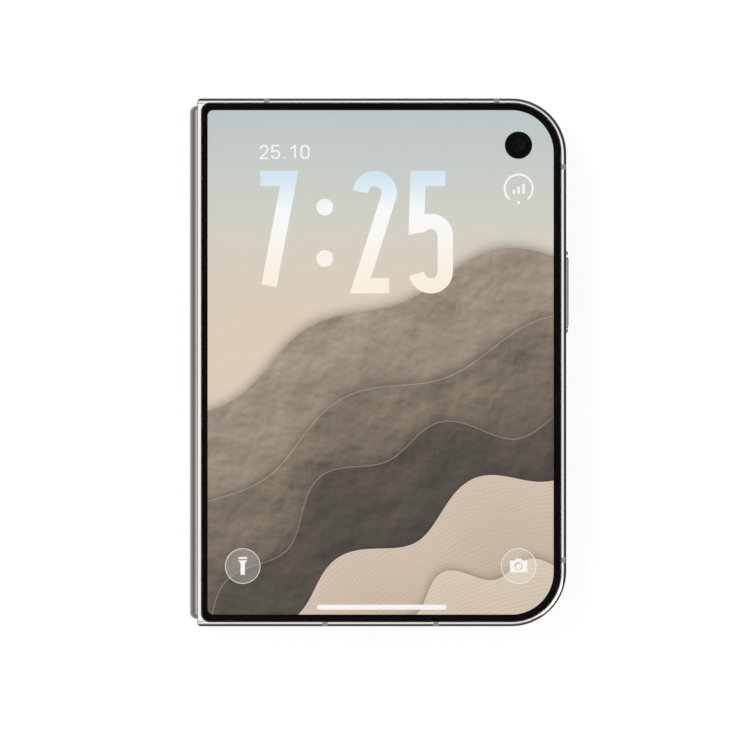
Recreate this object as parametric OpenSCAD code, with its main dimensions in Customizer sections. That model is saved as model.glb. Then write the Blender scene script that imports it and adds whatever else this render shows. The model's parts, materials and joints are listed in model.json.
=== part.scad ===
// Foldable phone that opens like a book, drawn closed and lying on its back.
// +X runs from the hinge to the free edge, +Y to the top of the phone, +Z out of the cover display.
// Every leaf piece is drawn as if in the front leaf, with z counted outward from the middle plane
// between the leaves, and the rear leaf is its mirror image.

/* [Leaves] */
// Width of a leaf from its hinge edge to its free edge
leaf_w = 84.3; // [84:0.1:88]
// Height of a leaf
leaf_h = 120.6; // [120:0.2:126]
// Thickness of a leaf
leaf_t = 5.0; // [5:0.1:5.4]
// Radius of the two corners at the free edge
corner_r = 12.6; // [12:0.1:13.5]
// Radius of the two corners at the hinge
hinge_corner_r = 0.9; // [0.6:0.1:1.2]
// Rounding of the metal edge towards the outer face
edge_r = 1.0; // [0.6:0.1:1]
// Gap between a leaf's inner face and the middle plane
half_gap = 0.15; // [0.15:0.01:0.2]

/* [Cover display] */
// Metal seen beside the cover glass at the free edge
glass_margin_free = 1.15; // [1.15:0.05:1.5]
// Metal seen beside the cover glass at top and bottom
glass_margin_end = 1.0; // [1:0.1:1.2]
// Metal seen beside the cover glass at the hinge
glass_margin_hinge = 0.9; // [0.8:0.1:1]
// Width of the lit display
display_w = 79.1; // [78:0.1:79.4]
// Height of the lit display
display_h = 115.2; // [114:0.1:115.4]
// Radius of the round camera hole in the display
camera_hole_r = 3.13; // [2.6:0.01:3.3]

/* [Hinge] */
// Height of each turning axis above the middle plane
axis_offset = 1.35; // [1.32:0.01:1.38]
// Outer radius of the spine about each axis
spine_r = 2.89; // [2.8:0.01:2.9]
// Length of the spine
spine_len = 117.2; // [116.8:0.1:117.2]
// Radius of the two long shafts that the leaves turn on
shaft_r = 0.4; // [0.35:0.01:0.4]
// Number of teeth on each of the hinge's gears
gear_teeth = 10; // [10:1:10]
// Tilt of the wing plates while the phone is closed, in degrees
wing_tilt = 35; // [34:0.5:35]

/* [Camera island] */
// Radius of the round ends of the island
island_r = 8.2; // [8:0.1:8.5]
// Height of the island above the back glass
island_rise = 1.5; // [1.2:0.1:1.8]

/* [Hidden] */

$fn = 64;

// Outline of a leaf
seam_gap = 0.15;
x_hinge = seam_gap - axis_offset;
x_free = x_hinge + leaf_w;
x_mid = (x_hinge + x_free) / 2;
y_end = leaf_h / 2;
z_in = half_gap;
z_out = half_gap + leaf_t;
inner_edge_r = 0.4;
rim_w = 1.9;

// Layers through a leaf, counted outward from the middle plane
panel_t = 0.35;
support_t = 0.15;
z_panel = z_in + panel_t;
z_floor = z_panel + support_t;
floor_t = 0.6;
z_parts = z_floor + floor_t;
cover_glass_t = 0.4;
cover_panel_t = 0.3;
back_glass_t = 0.55;
z_cover_glass = z_out - cover_glass_t;
z_cover_panel = z_cover_glass - cover_panel_t;
z_back_glass = z_out - back_glass_t;
slip = 0.03;
side_z = z_in + leaf_t / 2;

// Cover display
display_x0 = x_hinge + glass_margin_hinge + 1.385;
display_x1 = display_x0 + display_w;
display_r_free = 9.7;
display_r_hinge = 1.4;
glass_r_free = 11.4;
glass_r_hinge = 2.0;
hole_x = x_free - 10.93;
hole_y = y_end - 10.7;

// Hinge
end_wall_y = spine_len / 2 + 0.15;
spine_wall = 0.5;
cover_deck = 0.5;
spine_end_r = 1.4;
spine_end_wall = 0.3;
filler_end_r = 0.4;
bay_ceiling = axis_offset + spine_r + 0.15;
bay_x = 4.6;
shaft_fit = 0.05;
sync_r = 0.3;
gear_r = 0.75;
gear_addendum = 0.11;
gear_dedendum = 0.17;
gear_backlash = 1.6;
gear_y0 = spine_len / 2 - 1.3;
gear_y1 = spine_len / 2 - 0.6;
sync_z = gear_r;
sync_x = -sqrt(4 * gear_r * gear_r - (axis_offset - sync_z) * (axis_offset - sync_z));
mesh_angle = atan2(axis_offset - sync_z, sync_x);
spine_deck = 0.6;
housing_top = 1.1;
housing_half = 2.2;
block_y = [-36, 0, 36];
block_w = 7;
clip_y = [-18, 18];
clip_count = 6;

// Inner display and its fold
fold_x = 9;
fold_y = spine_len / 2 - 1.45;
fold_depth = axis_offset - half_gap;
fold_steps = 16;
inner_display_x = x_free - 2.2;
bezel_in_y = fold_y + 0.05;
bezel_out_y = y_end - 0.85;
bezel_out_x = x_free - 1.15;
bezel_z = z_in - 0.07;
bezel_start_x = 1.2;
wing_len = 5.6;
wing_t = 0.35;
wing_pin_r = 0.25;
wing_pivot_z = z_floor + 0.3;
lug_y = fold_y + 0.15;

// Rows of small features in the rims
break_w = 1.2;
break_depth = 0.8;
top_breaks = [x_hinge + 15.77, x_hinge + 68.37];
bottom_breaks = [x_hinge + 29.18, x_hinge + 54.54];
side_breaks = [y_end - 15.65, 15.15 - y_end];
volume_len = 9.2;
volume_recess = 10.74;
volume_up_x = x_hinge + 43.57;
volume_down_x = x_hinge + 57.25;
volume_rise = 0.2;
power_y = y_end - 44.17;
power_len = 15.76;
power_surround_len = 18.8;
power_rise = 0.6;
power_surround_rise = 0.45;
usb_len = 7.2;
flex_y = [25.5, 32.1];

// Inner parts
board_t = 0.8;
rear_board_y = [17, 38];
front_board_y = [27, 44];
rear_screw_spots = [[18, 20], [18, 35], [44, 20], [74, 20], [74, 35]];
front_screw_spots = [[18, 30], [18, 41], [60, 30], [60, 41]];
magnet_rows = [-40, -26, -12];
pad_spots = [[bezel_out_x - 0.52, 30], [bezel_out_x - 0.52, -30]];
coil_center = [x_mid, -15];
island_y = y_end - 14;
lens_x = [x_mid + 11.5, x_mid + 28.5];
flash_x = x_mid - 4;
lens_ring_r = 6.3;
lens_ring_rise = 0.4;

// The finished phone stands on the middle of the bottom of its bounding box
z_lowest = z_out + island_rise + lens_ring_rise;
x_left = -spine_r;
x_right = x_free + power_rise;
stand_shift = [-(x_left + x_right) / 2, -volume_rise / 2, z_lowest];

// ---- Shapes that many pieces share ----

module in_place() {
    translate(stand_shift) children();
}

module front_side() {
    in_place() children();
}

module rear_side() {
    in_place() mirror([0, 0, 1]) children();
}

module slab(z0, z1) {
    translate([0, 0, z0]) linear_extrude(z1 - z0) children();
}

// Runs a profile drawn in X and Z along Y
module along_y(y0, y1) {
    translate([0, y1, 0]) rotate([90, 0, 0]) linear_extrude(y1 - y0) children();
}

// Runs a profile drawn in Y and Z along X
module along_x(x0, x1) {
    translate([x0, 0, 0]) rotate([90, 0, 90]) linear_extrude(x1 - x0) children();
}

// Rectangle with its own corner radius on the hinge side and on the free side
module leaf_outline(x0, x1, half, r_hinge, r_free) {
    translate([x0 + r_hinge, -half]) square([x1 - x0 - r_hinge - r_free, 2 * half]);
    translate([x0, r_hinge - half]) square([r_hinge + 1, 2 * (half - r_hinge)]);
    translate([x1 - r_free - 1, r_free - half]) square([r_free + 1, 2 * (half - r_free)]);
    for (side = [-1, 1]) {
        translate([x0 + r_hinge, side * (half - r_hinge)]) circle(r_hinge);
        translate([x1 - r_free, side * (half - r_free)]) circle(r_free);
    }
}

module rounded_rect(x0, x1, y0, y1, r) {
    translate([x0 + r, y0]) square([x1 - x0 - 2 * r, y1 - y0]);
    translate([x0, y0 + r]) square([x1 - x0, y1 - y0 - 2 * r]);
    for (x = [x0 + r, x1 - r], y = [y0 + r, y1 - r]) translate([x, y]) circle(r);
}

module rounded_box(x0, x1, y0, y1, z0, z1, r = 0.8) {
    slab(z0, z1) rounded_rect(x0, x1, y0, y1, r);
}

// Flat oval with round ends, long way along its first axis
module oval(length, height) {
    square([length - height, height], center = true);
    for (side = [-1, 1]) translate([side * (length - height) / 2, 0]) circle(height / 2);
}

// Quarter-round waste left outside a rounded corner at the origin, in the third quadrant's corner
module corner_waste(r) {
    difference() {
        translate([-0.5, -0.5]) square(r + 0.5);
        translate([r, r]) circle(r);
    }
}

// ---- Frames ----

// Section of the metal rim, with its outer side at x = 0
module rim_section(w) {
    translate([-w, z_in]) square([w - edge_r, leaf_t]);
    translate([-edge_r - 0.1, z_in]) square([edge_r + 0.1 - inner_edge_r, leaf_t - edge_r]);
    translate([-inner_edge_r - 0.1, z_in + inner_edge_r])
        square([inner_edge_r + 0.1, leaf_t - edge_r - inner_edge_r]);
    translate([-edge_r, z_out - edge_r]) circle(edge_r);
    translate([-inner_edge_r, z_in + inner_edge_r]) circle(inner_edge_r);
}

// Waste beyond the round edge that keeps the two leaves apart while both turn about their axes
module knuckle_waste() {
    difference() {
        translate([x_hinge - 1, z_in - 1]) square([1 - x_hinge, axis_offset - z_in + 1]);
        translate([0, axis_offset]) circle(axis_offset - seam_gap);
    }
}

// Solid leaf with rounded rims, before anything is milled out of it
module leaf_blank() {
    core_inset = edge_r + 0.2;
    sweep_w = edge_r + 0.5;
    difference() {
        union() {
            slab(z_in, z_out) leaf_outline(x_hinge, x_free - core_inset, y_end - core_inset, 0.1,
                corner_r - core_inset);
            translate([x_free, 0, 0]) along_y(corner_r - y_end, y_end - corner_r) rim_section(sweep_w);
            for (flip = [0, 1]) mirror([0, flip, 0]) {
                along_x(x_hinge, x_free - corner_r) translate([y_end, 0]) rim_section(sweep_w);
                translate([x_free - corner_r, y_end - corner_r, 0])
                    rotate_extrude(angle = 90) translate([corner_r, 0]) rim_section(sweep_w);
            }
        }
        for (flip = [0, 1]) mirror([0, flip, 0])
            translate([0, -y_end, 0]) slab(z_in - 1, z_out + 1)
                translate([x_hinge, 0]) corner_waste(hinge_corner_r);
        translate([0, 0, z_out]) along_y(-y_end - 1, y_end + 1)
            translate([x_hinge, 0]) mirror([0, 1]) corner_waste(0.4);
        along_y(-y_end - 1, y_end + 1) knuckle_waste();
    }
}

module antenna_slots() {
    for (x = top_breaks) translate([x - break_w / 2, y_end - break_depth, 0]) cube([break_w, 2, 9]);
    for (x = bottom_breaks)
        translate([x - break_w / 2, break_depth - y_end - 2, 0]) cube([break_w, 2, 9]);
    for (y = side_breaks) translate([x_free - break_depth, y - break_w / 2, 0]) cube([2, break_w, 9]);
}

// Where the spine turns, and the sloping room beside it that the fold and the wing plates need
module hinge_bay() {
    along_y(-end_wall_y, end_wall_y)
        translate([x_hinge - 1, -1]) square([bay_x - x_hinge + 1, bay_ceiling + 1]);
    along_y(-lug_y, lug_y) polygon([[bay_x - 0.5, -1], [bay_x - 0.5, bay_ceiling],
        [bay_x, bay_ceiling], [fold_x + 0.45, z_floor + 0.3], [fold_x + 0.45, -1]]);
}

module at_fold_axis() {
    translate([0, 0, axis_offset]) children();
}

module at_wing_pivot() {
    translate([fold_x, 0, wing_pivot_z]) children();
}

module y_rod(r, y0, y1) {
    along_y(y0, y1) circle(r);
}

// Way for the flexible cable from the hinge bay into the room for the boards
module flex_slot() {
    translate([fold_x, flex_y[0] - 0.3, z_floor]) cube([2, flex_y[1] - flex_y[0] + 0.6, 1]);
}

// Everything that both frames have, less what each adds as children
module leaf_frame(z_glass) {
    cavity_r = corner_r - rim_w;
    difference() {
        leaf_blank();
        slab(z_glass, z_out + 1) glass_outline(slip);
        slab(z_parts, z_glass + 0.1)
            leaf_outline(fold_x + 1.5, x_free - rim_w, y_end - rim_w, 1, cavity_r);
        slab(z_in - 1, z_floor) leaf_outline(x_hinge - 2, bezel_out_x + slip, bezel_out_y + slip, 0.5,
            corner_r - 1.15);
        hinge_bay();
        at_fold_axis() y_rod(shaft_r, -y_end + 0.5, y_end - 0.5);
        at_wing_pivot() y_rod(wing_pin_r + 0.04, -end_wall_y + 0.2, end_wall_y - 0.2);
        antenna_slots();
        flex_slot();
        children();
    }
}

module glass_outline(grow) {
    leaf_outline(x_hinge + glass_margin_hinge - grow, x_free - glass_margin_free + grow,
        y_end - glass_margin_end + grow, glass_r_hinge, glass_r_free);
}

module display_outline(grow) {
    leaf_outline(display_x0 - grow, display_x1 + grow, display_h / 2 + grow, display_r_hinge + grow,
        display_r_free + grow);
}

module screw_holes(spots) {
    for (spot = spots) translate([spot[0], spot[1], z_floor + 0.15]) cylinder(r = 0.5, h = 2);
}

module rear_frame() {
    color([0.80, 0.78, 0.75]) rear_side() leaf_frame(z_back_glass) {
        power_opening(power_surround_len + 0.06, 2.96);
        for (x = [volume_up_x, volume_down_x]) volume_opening(x);
        along_y(-y_end - 1, -y_end + usb_len + 0.1) translate([x_mid, side_z]) oval(9.0, 3.2);
        along_y(-y_end - 1, -y_end + rim_w + 1) speaker_hole_row();
        along_y(-y_end - 1, -y_end + rim_w + 1) translate([x_mid - 10, side_z]) circle(0.45);
        screw_holes(rear_screw_spots);
    }
}

module power_opening(length, height) {
    translate([0, power_y, side_z]) along_x(x_free - rim_w - 0.2, x_free + 1) oval(length, height);
}

module volume_opening(x) {
    translate([x, 0, side_z]) along_y(y_end - rim_w - 0.2, y_end + 1) oval(volume_len + 0.1, 2.1);
    translate([x, 0, side_z]) along_y(y_end - 0.35, y_end + 1) oval(volume_recess, 2.6);
}

module speaker_hole_row() {
    for (i = [0:5]) translate([x_mid + 17 + 2.1 * i, side_z]) circle(0.6);
}

module front_frame() {
    color([0.80, 0.78, 0.75]) front_side() leaf_frame(z_cover_glass) {
        slab(z_cover_panel - slip, z_out) display_outline(slip);
        along_y(y_end - rim_w - 0.2, y_end + 1)
            for (i = [-2:2]) translate([x_mid + 1.8 * i, side_z]) circle(0.4);
        screw_holes(front_screw_spots);
        slab(z_in - 1, z_parts + 1) translate([inner_camera_x, inner_camera_y]) circle(inner_camera_r + 0.1);
    }
}

module antenna_fillers() {
    intersection() {
        leaf_blank();
        antenna_slots();
    }
}

module rear_antenna_breaks() {
    color([0.62, 0.62, 0.61]) rear_side() antenna_fillers();
}

module front_antenna_breaks() {
    color([0.62, 0.62, 0.61]) front_side() antenna_fillers();
}

// ---- Outer glasses, cover display and cameras ----

module cover_glass() {
    color([0.10, 0.10, 0.12, 0.5]) front_side() slab(z_cover_glass, z_out) glass_outline(0);
}

module cover_display() {
    color([0.70, 0.68, 0.66]) front_side() slab(z_cover_panel, z_cover_glass) difference() {
        display_outline(0);
        translate([hole_x, hole_y]) circle(camera_hole_r);
    }
}

// Camera with a square base, a round barrel and a stepped front
module camera_module(z0, z1, base, barrel_r) {
    rounded_box(-base / 2, base / 2, -base / 2, base / 2, z0, z0 + 0.55 * (z1 - z0), 0.6);
    difference() {
        slab(z0 + 0.1, z1) circle(barrel_r);
        slab(z1 - 0.4, z1 + 1) circle(barrel_r * 0.72);
    }
    slab(z0 + 0.1, z1 - 0.25) circle(barrel_r * 0.6);
}

module cover_camera() {
    color([0.08, 0.08, 0.09]) front_side() translate([hole_x, hole_y, 0])
        camera_module(z_parts + 0.1, z_cover_glass - 0.05, 6.6, 3.0);
}

module island_outline(grow) {
    translate([(flash_x + lens_x[1]) / 2, island_y])
        oval(lens_x[1] - flash_x + 2 * (island_r + grow), 2 * (island_r + grow));
}

// Section of the island's edge, with the rounded shoulder
module island_section() {
    shoulder = 0.6;
    top = z_out + island_rise;
    translate([0, z_back_glass]) square([island_r, top - shoulder - z_back_glass]);
    translate([0, z_back_glass]) square([island_r - shoulder, top - z_back_glass]);
    translate([island_r - shoulder, top - shoulder]) circle(shoulder);
}

module rear_cover_glass() {
    color([0.86, 0.84, 0.80]) rear_side() slab(z_back_glass, z_out) difference() {
        glass_outline(0);
        island_outline(slip);
    }
}

module camera_island() {
    color([0.78, 0.76, 0.73]) rear_side() difference() {
        union() {
            for (x = [flash_x, lens_x[1]]) translate([x, island_y, 0]) rotate_extrude() island_section();
            for (flip = [0, 1]) translate([0, island_y, 0]) mirror([0, flip, 0])
                along_x(flash_x, lens_x[1]) island_section();
        }
        for (x = lens_x) translate([x, island_y, 0]) {
            slab(z_back_glass - 1, z_lowest + 1) circle(5.0);
            slab(z_out + island_rise - 0.45, z_lowest + 1) circle(lens_ring_r + 0.02);
        }
        translate([flash_x, island_y, z_back_glass - 1]) cylinder(r = 2.35, h = 9);
        translate([flash_x + 6.2, island_y, z_back_glass - 1]) cylinder(r = 0.45, h = 9);
    }
}

module camera_lens_rings() {
    ring_z = z_out + island_rise - 0.45;
    color([0.72, 0.71, 0.69]) rear_side() for (x = lens_x) translate([x, island_y, 0])
        rotate_extrude() {
            translate([4.9, ring_z]) square([lens_ring_r - 4.9, z_lowest - 0.25 - ring_z]);
            translate([5.15, ring_z]) square([lens_ring_r - 5.4, z_lowest - ring_z]);
            translate([5.15, z_lowest - 0.25]) circle(0.25);
            translate([lens_ring_r - 0.25, z_lowest - 0.25]) circle(0.25);
        }
}

module camera_lens_covers() {
    color([0.05, 0.05, 0.07]) rear_side() for (x = lens_x) translate([x, island_y, 0])
        slab(z_lowest - 0.65, z_lowest - 0.2) circle(4.88);
}

module main_camera_module() {
    color([0.07, 0.07, 0.08]) rear_side() translate([lens_x[1], island_y, 0])
        camera_module(z_parts + 0.1, z_lowest - 0.8, 11.5, 4.7);
}

module wide_camera_module() {
    color([0.07, 0.07, 0.08]) rear_side() translate([lens_x[0], island_y, 0])
        camera_module(z_parts + 0.4, z_lowest - 0.8, 10.5, 4.4);
}

module flash_diffuser() {
    color([0.95, 0.93, 0.86]) rear_side() translate([flash_x, island_y, 0]) {
        slab(z_out + island_rise - 0.6, z_out + island_rise - 0.1) circle(2.3);
        slab(z_back_glass, z_out + island_rise - 0.5) circle(1.8);
    }
}

// ---- Parts inside the rear leaf ----

module rear_battery() {
    color([0.25, 0.26, 0.28]) rear_side() {
        rounded_box(13.5, 67, -46, 14.5, z_parts + 0.1, z_parts + 2.85, 1.5);
        rounded_box(30, 44, 13.5, 16, z_parts + 0.3, z_parts + 1.3, 0.5);
    }
}

module board(y_range, x0, x1, spots) {
    difference() {
        rounded_box(x0, x1, y_range[0], y_range[1], z_parts, z_parts + board_t, 1.2);
        for (spot = spots) translate([spot[0], spot[1], 0]) cylinder(r = 0.6, h = 9);
    }
}

module logic_board() {
    color([0.10, 0.24, 0.16]) rear_side() board(rear_board_y, 13.5, 77.5, rear_screw_spots);
}

module board_shields() {
    color([0.74, 0.74, 0.74]) rear_side() {
        z0 = z_parts + board_t;
        rounded_box(21, 41, 19.5, 36, z0, z0 + 1.5, 0.6);
        rounded_box(47, 70.5, 19.5, 36, z0, z0 + 1.3, 0.6);
    }
}

module charging_coil() {
    z0 = z_back_glass - 0.32;
    color([0.72, 0.42, 0.22]) rear_side() translate([coil_center[0], coil_center[1], 0])
        for (turn = [0:4]) slab(z0, z0 + 0.26) difference() {
            circle(20.5 - 2 * turn);
            circle(19.1 - 2 * turn);
        }
}

module magnet_ring() {
    magnet_count = 16;
    step = 360 / magnet_count;
    z0 = z_back_glass - 0.5;
    color([0.66, 0.66, 0.68]) rear_side() translate([coil_center[0], coil_center[1], 0])
        for (i = [0:magnet_count - 1]) rotate(i * step) rotate_extrude(angle = step - 2.5)
            translate([22.4, z0]) square([3.4, 0.45]);
}

module usb_socket() {
    color([0.70, 0.70, 0.70]) rear_side() {
        translate([x_mid, 0, side_z]) difference() {
            along_y(-y_end + 0.1, -y_end + usb_len) oval(8.94, 3.16);
            along_y(-y_end - 1, -y_end + usb_len - 0.4) oval(8.34, 2.56);
        }
        translate([x_mid, 0, side_z]) along_y(-y_end + 1.2, -y_end + usb_len - 0.3)
            square([6.69, 0.7], center = true);
    }
}

module loudspeaker() {
    color([0.13, 0.13, 0.14]) rear_side() difference() {
        rounded_box(x_mid + 14, x_mid + 31, -y_end + 2.3, -y_end + 12.5, z_parts + 0.1, z_parts + 3.0);
        along_y(-y_end, -y_end + 4) speaker_hole_row();
    }
}

module speaker_mesh() {
    color([0.2, 0.2, 0.2]) rear_side() translate([x_mid + 22.25, 0, side_z])
        along_y(-y_end + rim_w + 0.02, -y_end + rim_w + 0.2) oval(14, 2);
}

module haptic_motor() {
    color([0.6, 0.6, 0.62]) rear_side() {
        rounded_box(14, 31, -56.5, -49, z_parts + 0.1, z_parts + 2.8, 1);
        rounded_box(31, 34, -54.5, -51, z_parts + 0.1, z_parts + 0.7, 0.5);
    }
}

module button_switches() {
    color([0.3, 0.3, 0.31]) rear_side() {
        rounded_box(x_free - 4.6, x_free - 2.95, power_y - 3, power_y + 3, side_z - 1.1, side_z + 1.1, 0.3);
        for (x = [volume_up_x, volume_down_x])
            rounded_box(x - 2.2, x + 2.2, y_end - 4.4, y_end - 2.98, side_z - 1, side_z + 1, 0.3);
    }
}

module magnets() {
    for (y = magnet_rows)
        rounded_box(x_free - 6.6, x_free - 3.6, y - 5.5, y + 5.5, z_parts, z_parts + 1.8, 0.3);
}

module rear_closing_magnets() {
    color([0.7, 0.7, 0.72]) rear_side() magnets();
}

module front_closing_magnets() {
    color([0.7, 0.7, 0.72]) front_side() magnets();
}

// Small cross-headed screws that hold a board to the frame
module board_screws(spots) {
    for (spot = spots) translate([spot[0], spot[1], 0]) difference() {
        union() {
            slab(z_floor + 0.2, z_parts + board_t + 0.1) circle(0.47);
            slab(z_parts + board_t, z_parts + board_t + 0.45) circle(1);
        }
        for (turn = [0, 90]) rotate(turn) translate([-0.55, -0.11, z_parts + board_t + 0.2])
            cube([1.1, 0.22, 1]);
    }
}

module rear_screws() {
    color([0.62, 0.62, 0.64]) rear_side() board_screws(rear_screw_spots);
}

module front_screws() {
    color([0.62, 0.62, 0.64]) front_side() board_screws(front_screw_spots);
}

// ---- Buttons ----

// Oval cap along Y whose outer face ends at x1 and whose two ends curve back in plan
module side_cap(length, height, x0, x1, end_r) {
    intersection() {
        along_x(x0, x1) oval(length, height);
        slab(-height, height) rounded_rect(x0 - 2 * end_r, x1, -length / 2, length / 2, end_r);
    }
}

module power_button_surround() {
    color([0.55, 0.54, 0.52]) rear_side() difference() {
        translate([0, power_y, side_z])
            side_cap(power_surround_len, 2.9, x_free - rim_w, x_free + power_surround_rise, 0.5);
        power_opening(power_len + 0.12, 2.42);
    }
}

module power_button() {
    color([0.60, 0.59, 0.57]) rear_side() translate([0, power_y, side_z]) {
        side_cap(power_len, 2.3, x_free - rim_w - 0.6, x_free + power_rise, 0.35);
        along_x(x_free - rim_w - 0.65, x_free - rim_w - 0.05) oval(power_len + 1.6, 2.8);
    }
}

module volume_cap(x) {
    translate([x, 0, side_z]) {
        rotate([0, 0, 90]) side_cap(volume_len, 2.0, y_end - rim_w - 0.6, y_end + volume_rise, 0.3);
        along_y(y_end - rim_w - 0.65, y_end - rim_w - 0.05) oval(volume_len + 1, 2.6);
    }
}

module volume_up_button() {
    color([0.74, 0.72, 0.69]) rear_side() volume_cap(volume_up_x);
}

module volume_down_button() {
    color([0.74, 0.72, 0.69]) rear_side() volume_cap(volume_down_x);
}

// ---- Parts inside the front leaf ----

inner_camera_x = x_mid + 17;
inner_camera_y = y_end - 9.5;
inner_camera_r = 2.2;

module front_battery() {
    color([0.25, 0.26, 0.28]) front_side() {
        rounded_box(13.5, 70, -50, 24, z_parts + 0.1, z_parts + 2.6, 1.5);
        rounded_box(30, 44, 23, 26, z_parts + 0.3, z_parts + 1.3, 0.5);
    }
}

module front_board() {
    color([0.10, 0.24, 0.16]) front_side() {
        board(front_board_y, 13.5, 64, front_screw_spots);
        rounded_box(22, 40, 29.5, 41.5, z_parts + board_t - 0.01, z_parts + board_t + 1.1, 0.6);
        rounded_box(45, 56, 31, 40, z_parts + board_t - 0.01, z_parts + board_t + 0.9, 0.6);
    }
}

module earpiece() {
    color([0.16, 0.16, 0.17]) front_side() {
        rounded_box(x_mid - 7.5, x_mid + 7.5, y_end - 9, y_end - 2.2, z_parts + 0.1, z_parts + 2.7, 1);
        rounded_box(x_mid - 9.5, x_mid - 7, y_end - 7, y_end - 4, z_parts + 0.1, z_parts + 0.6, 0.5);
    }
}

module inner_camera() {
    color([0.08, 0.08, 0.09]) front_side() translate([inner_camera_x, inner_camera_y, 0]) {
        slab(z_panel, z_parts + 2.2) circle(inner_camera_r);
        rounded_box(-3.2, 3.2, -3.2, 3.2, z_parts + 0.05, z_parts + 2.4, 0.5);
    }
}

// ---- Inner display ----

module panel_outline(inset) {
    leaf_outline(fold_x + slip, inner_display_x - inset, fold_y - inset, 0.02, 8 - inset);
}

module rear_display_panel() {
    color([0.05, 0.05, 0.06]) rear_side() slab(z_in, z_panel) panel_outline(0);
}

module rear_support_plate() {
    color([0.5, 0.5, 0.52]) rear_side() slab(z_panel, z_floor) panel_outline(0.3);
}

module front_display_panel() {
    color([0.05, 0.05, 0.06]) front_side() slab(z_in, z_panel) difference() {
        panel_outline(0);
        translate([inner_camera_x, inner_camera_y]) circle(1.9);
    }
}

module front_support_plate() {
    color([0.5, 0.5, 0.52]) front_side() slab(z_panel, z_floor) difference() {
        panel_outline(0.3);
        translate([inner_camera_x, inner_camera_y]) circle(inner_camera_r + 0.1);
    }
}

// Soft rim around the inner display: wide beside the panel, narrow along the ends of the hinge bay
module inner_bezel() {
    slab(bezel_z, z_floor) difference() {
        leaf_outline(0, bezel_out_x, bezel_out_y, 0.1, corner_r - 1.15);
        leaf_outline(x_hinge - 9, inner_display_x + 0.04, bezel_in_y, 0.5, 8);
        translate([x_hinge - 1, -end_wall_y]) square([bezel_start_x - x_hinge + 1, 2 * end_wall_y]);
        children();
    }
}

module rear_inner_bezel() {
    color([0.07, 0.07, 0.07]) rear_side() inner_bezel();
}

module front_inner_bezel() {
    color([0.07, 0.07, 0.07]) front_side() inner_bezel()
        for (spot = pad_spots) translate(spot) circle(0.42);
}

module closing_pads() {
    color([0.2, 0.2, 0.2]) front_side() for (spot = pad_spots)
        translate([spot[0], spot[1], 0]) slab(0.02, z_floor) circle(0.4);
}

// The fold is a ribbon whose direction turns from flat to square with the leaf, a little at a time.
// x_flat is a point's distance from the turning axis when the phone is open and flat.
function smooth(t) = t * t * (3 - 2 * t);
function fold_turn(x_flat) = 90 * smooth((fold_x - x_flat) / (fold_x + axis_offset));
function fold_point(x_flat, depth) = let (a = fold_turn(x_flat))
    [x_flat * cos(a) + depth * sin(a), axis_offset + x_flat * sin(a) - depth * cos(a)];
function fold_half(depth) = [for (i = [0:fold_steps])
    fold_point(fold_x - (fold_x + axis_offset) * i / fold_steps, depth)];
function fold_line(depth) = concat(fold_half(depth),
    [for (i = [fold_steps - 1:-1:0]) [fold_half(depth)[i][0], -fold_half(depth)[i][1]]]);
function backwards(list) = [for (i = [len(list) - 1:-1:0]) list[i]];

module fold_ribbon(depth_near, depth_far, y0, y1) {
    along_y(y0, y1) polygon(concat(fold_line(depth_near), backwards(fold_line(depth_far))));
}

module fold_display() {
    color([0.05, 0.05, 0.06]) in_place() fold_ribbon(fold_depth, fold_depth - panel_t, -fold_y, fold_y);
}

module fold_support_mesh() {
    color([0.5, 0.5, 0.52]) in_place() fold_ribbon(fold_depth - panel_t, fold_depth - panel_t - support_t,
        0.3 - fold_y, fold_y - 0.3);
}

module hinge_flex_cable() {
    back = fold_depth - panel_t - support_t;
    color([0.75, 0.45, 0.15]) in_place() fold_ribbon(back - 0.02, back - 0.09, flex_y[0], flex_y[1]);
}

// ---- Hinge ----

// Section of the spine: a round back about both axes, flat between them, open towards the display
module spine_section(r, deck) {
    intersection() {
        union() {
            for (side = [-1, 1]) translate([0, side * axis_offset]) circle(r);
            translate([-r, -axis_offset]) square([2 * r, 2 * axis_offset]);
            translate([0, -axis_offset - r]) square([deck, 2 * (axis_offset + r)]);
        }
        translate([-r - 1, -9]) square([r + 1 + deck, 18]);
    }
}

// Half of a rod's section, with the corners of both ends rounded
module rod_half_section(r, half, end_r) {
    square([r - end_r, half]);
    square([r, half - end_r]);
    translate([r - end_r, half - end_r]) circle(end_r);
}

// Solid spine as far as its deck: a half rod about each axis, and a flat between them
module spine_body(r, deck, half, end_r) {
    for (side = [-1, 1]) translate([0, 0, side * axis_offset]) rotate([90, 0, 0]) rotate([0, 0, 90])
        rotate_extrude(angle = 180)
            for (flip = [0, 1]) mirror([0, flip]) rod_half_section(r, half, end_r);
    slab(-axis_offset, axis_offset) for (flip = [0, 1]) mirror([0, flip])
        mirror([1, 0]) rod_half_section(r, half, end_r);
    along_x(0, deck)
        rounded_rect(-half, half, -axis_offset - r, axis_offset + r, end_r);
}

module spine_cover() {
    half = spine_len / 2;
    bore_r = shaft_r + shaft_fit;
    color([0.66, 0.64, 0.61]) in_place() difference() {
        spine_body(spine_r, cover_deck, half, spine_end_r);
        spine_body(spine_r - spine_wall, 2, half - spine_end_wall, filler_end_r);
        for (side = [-1, 1]) translate([0, 0, side * axis_offset]) {
            y_rod(bore_r, -half - 1, half + 1);
            translate([0, -half - 1, -bore_r]) cube([2, 2 * half + 2, 2 * bore_r]);
        }
        for (y = block_y) translate([-spine_r + 0.25, y, 0]) rotate([0, 90, 0]) cylinder(r = 0.3, h = 2);
    }
}

module hinge_bores(y0, y1) {
    for (side = [-1, 1]) {
        translate([0, 0, side * axis_offset]) y_rod(shaft_r + shaft_fit, y0, y1);
        translate([sync_x, 0, side * sync_z]) y_rod(sync_r + shaft_fit, y0, y1);
    }
}

// Section of what fills the spine
module filler_section() {
    spine_section(spine_r - spine_wall - slip, spine_deck);
}

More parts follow.
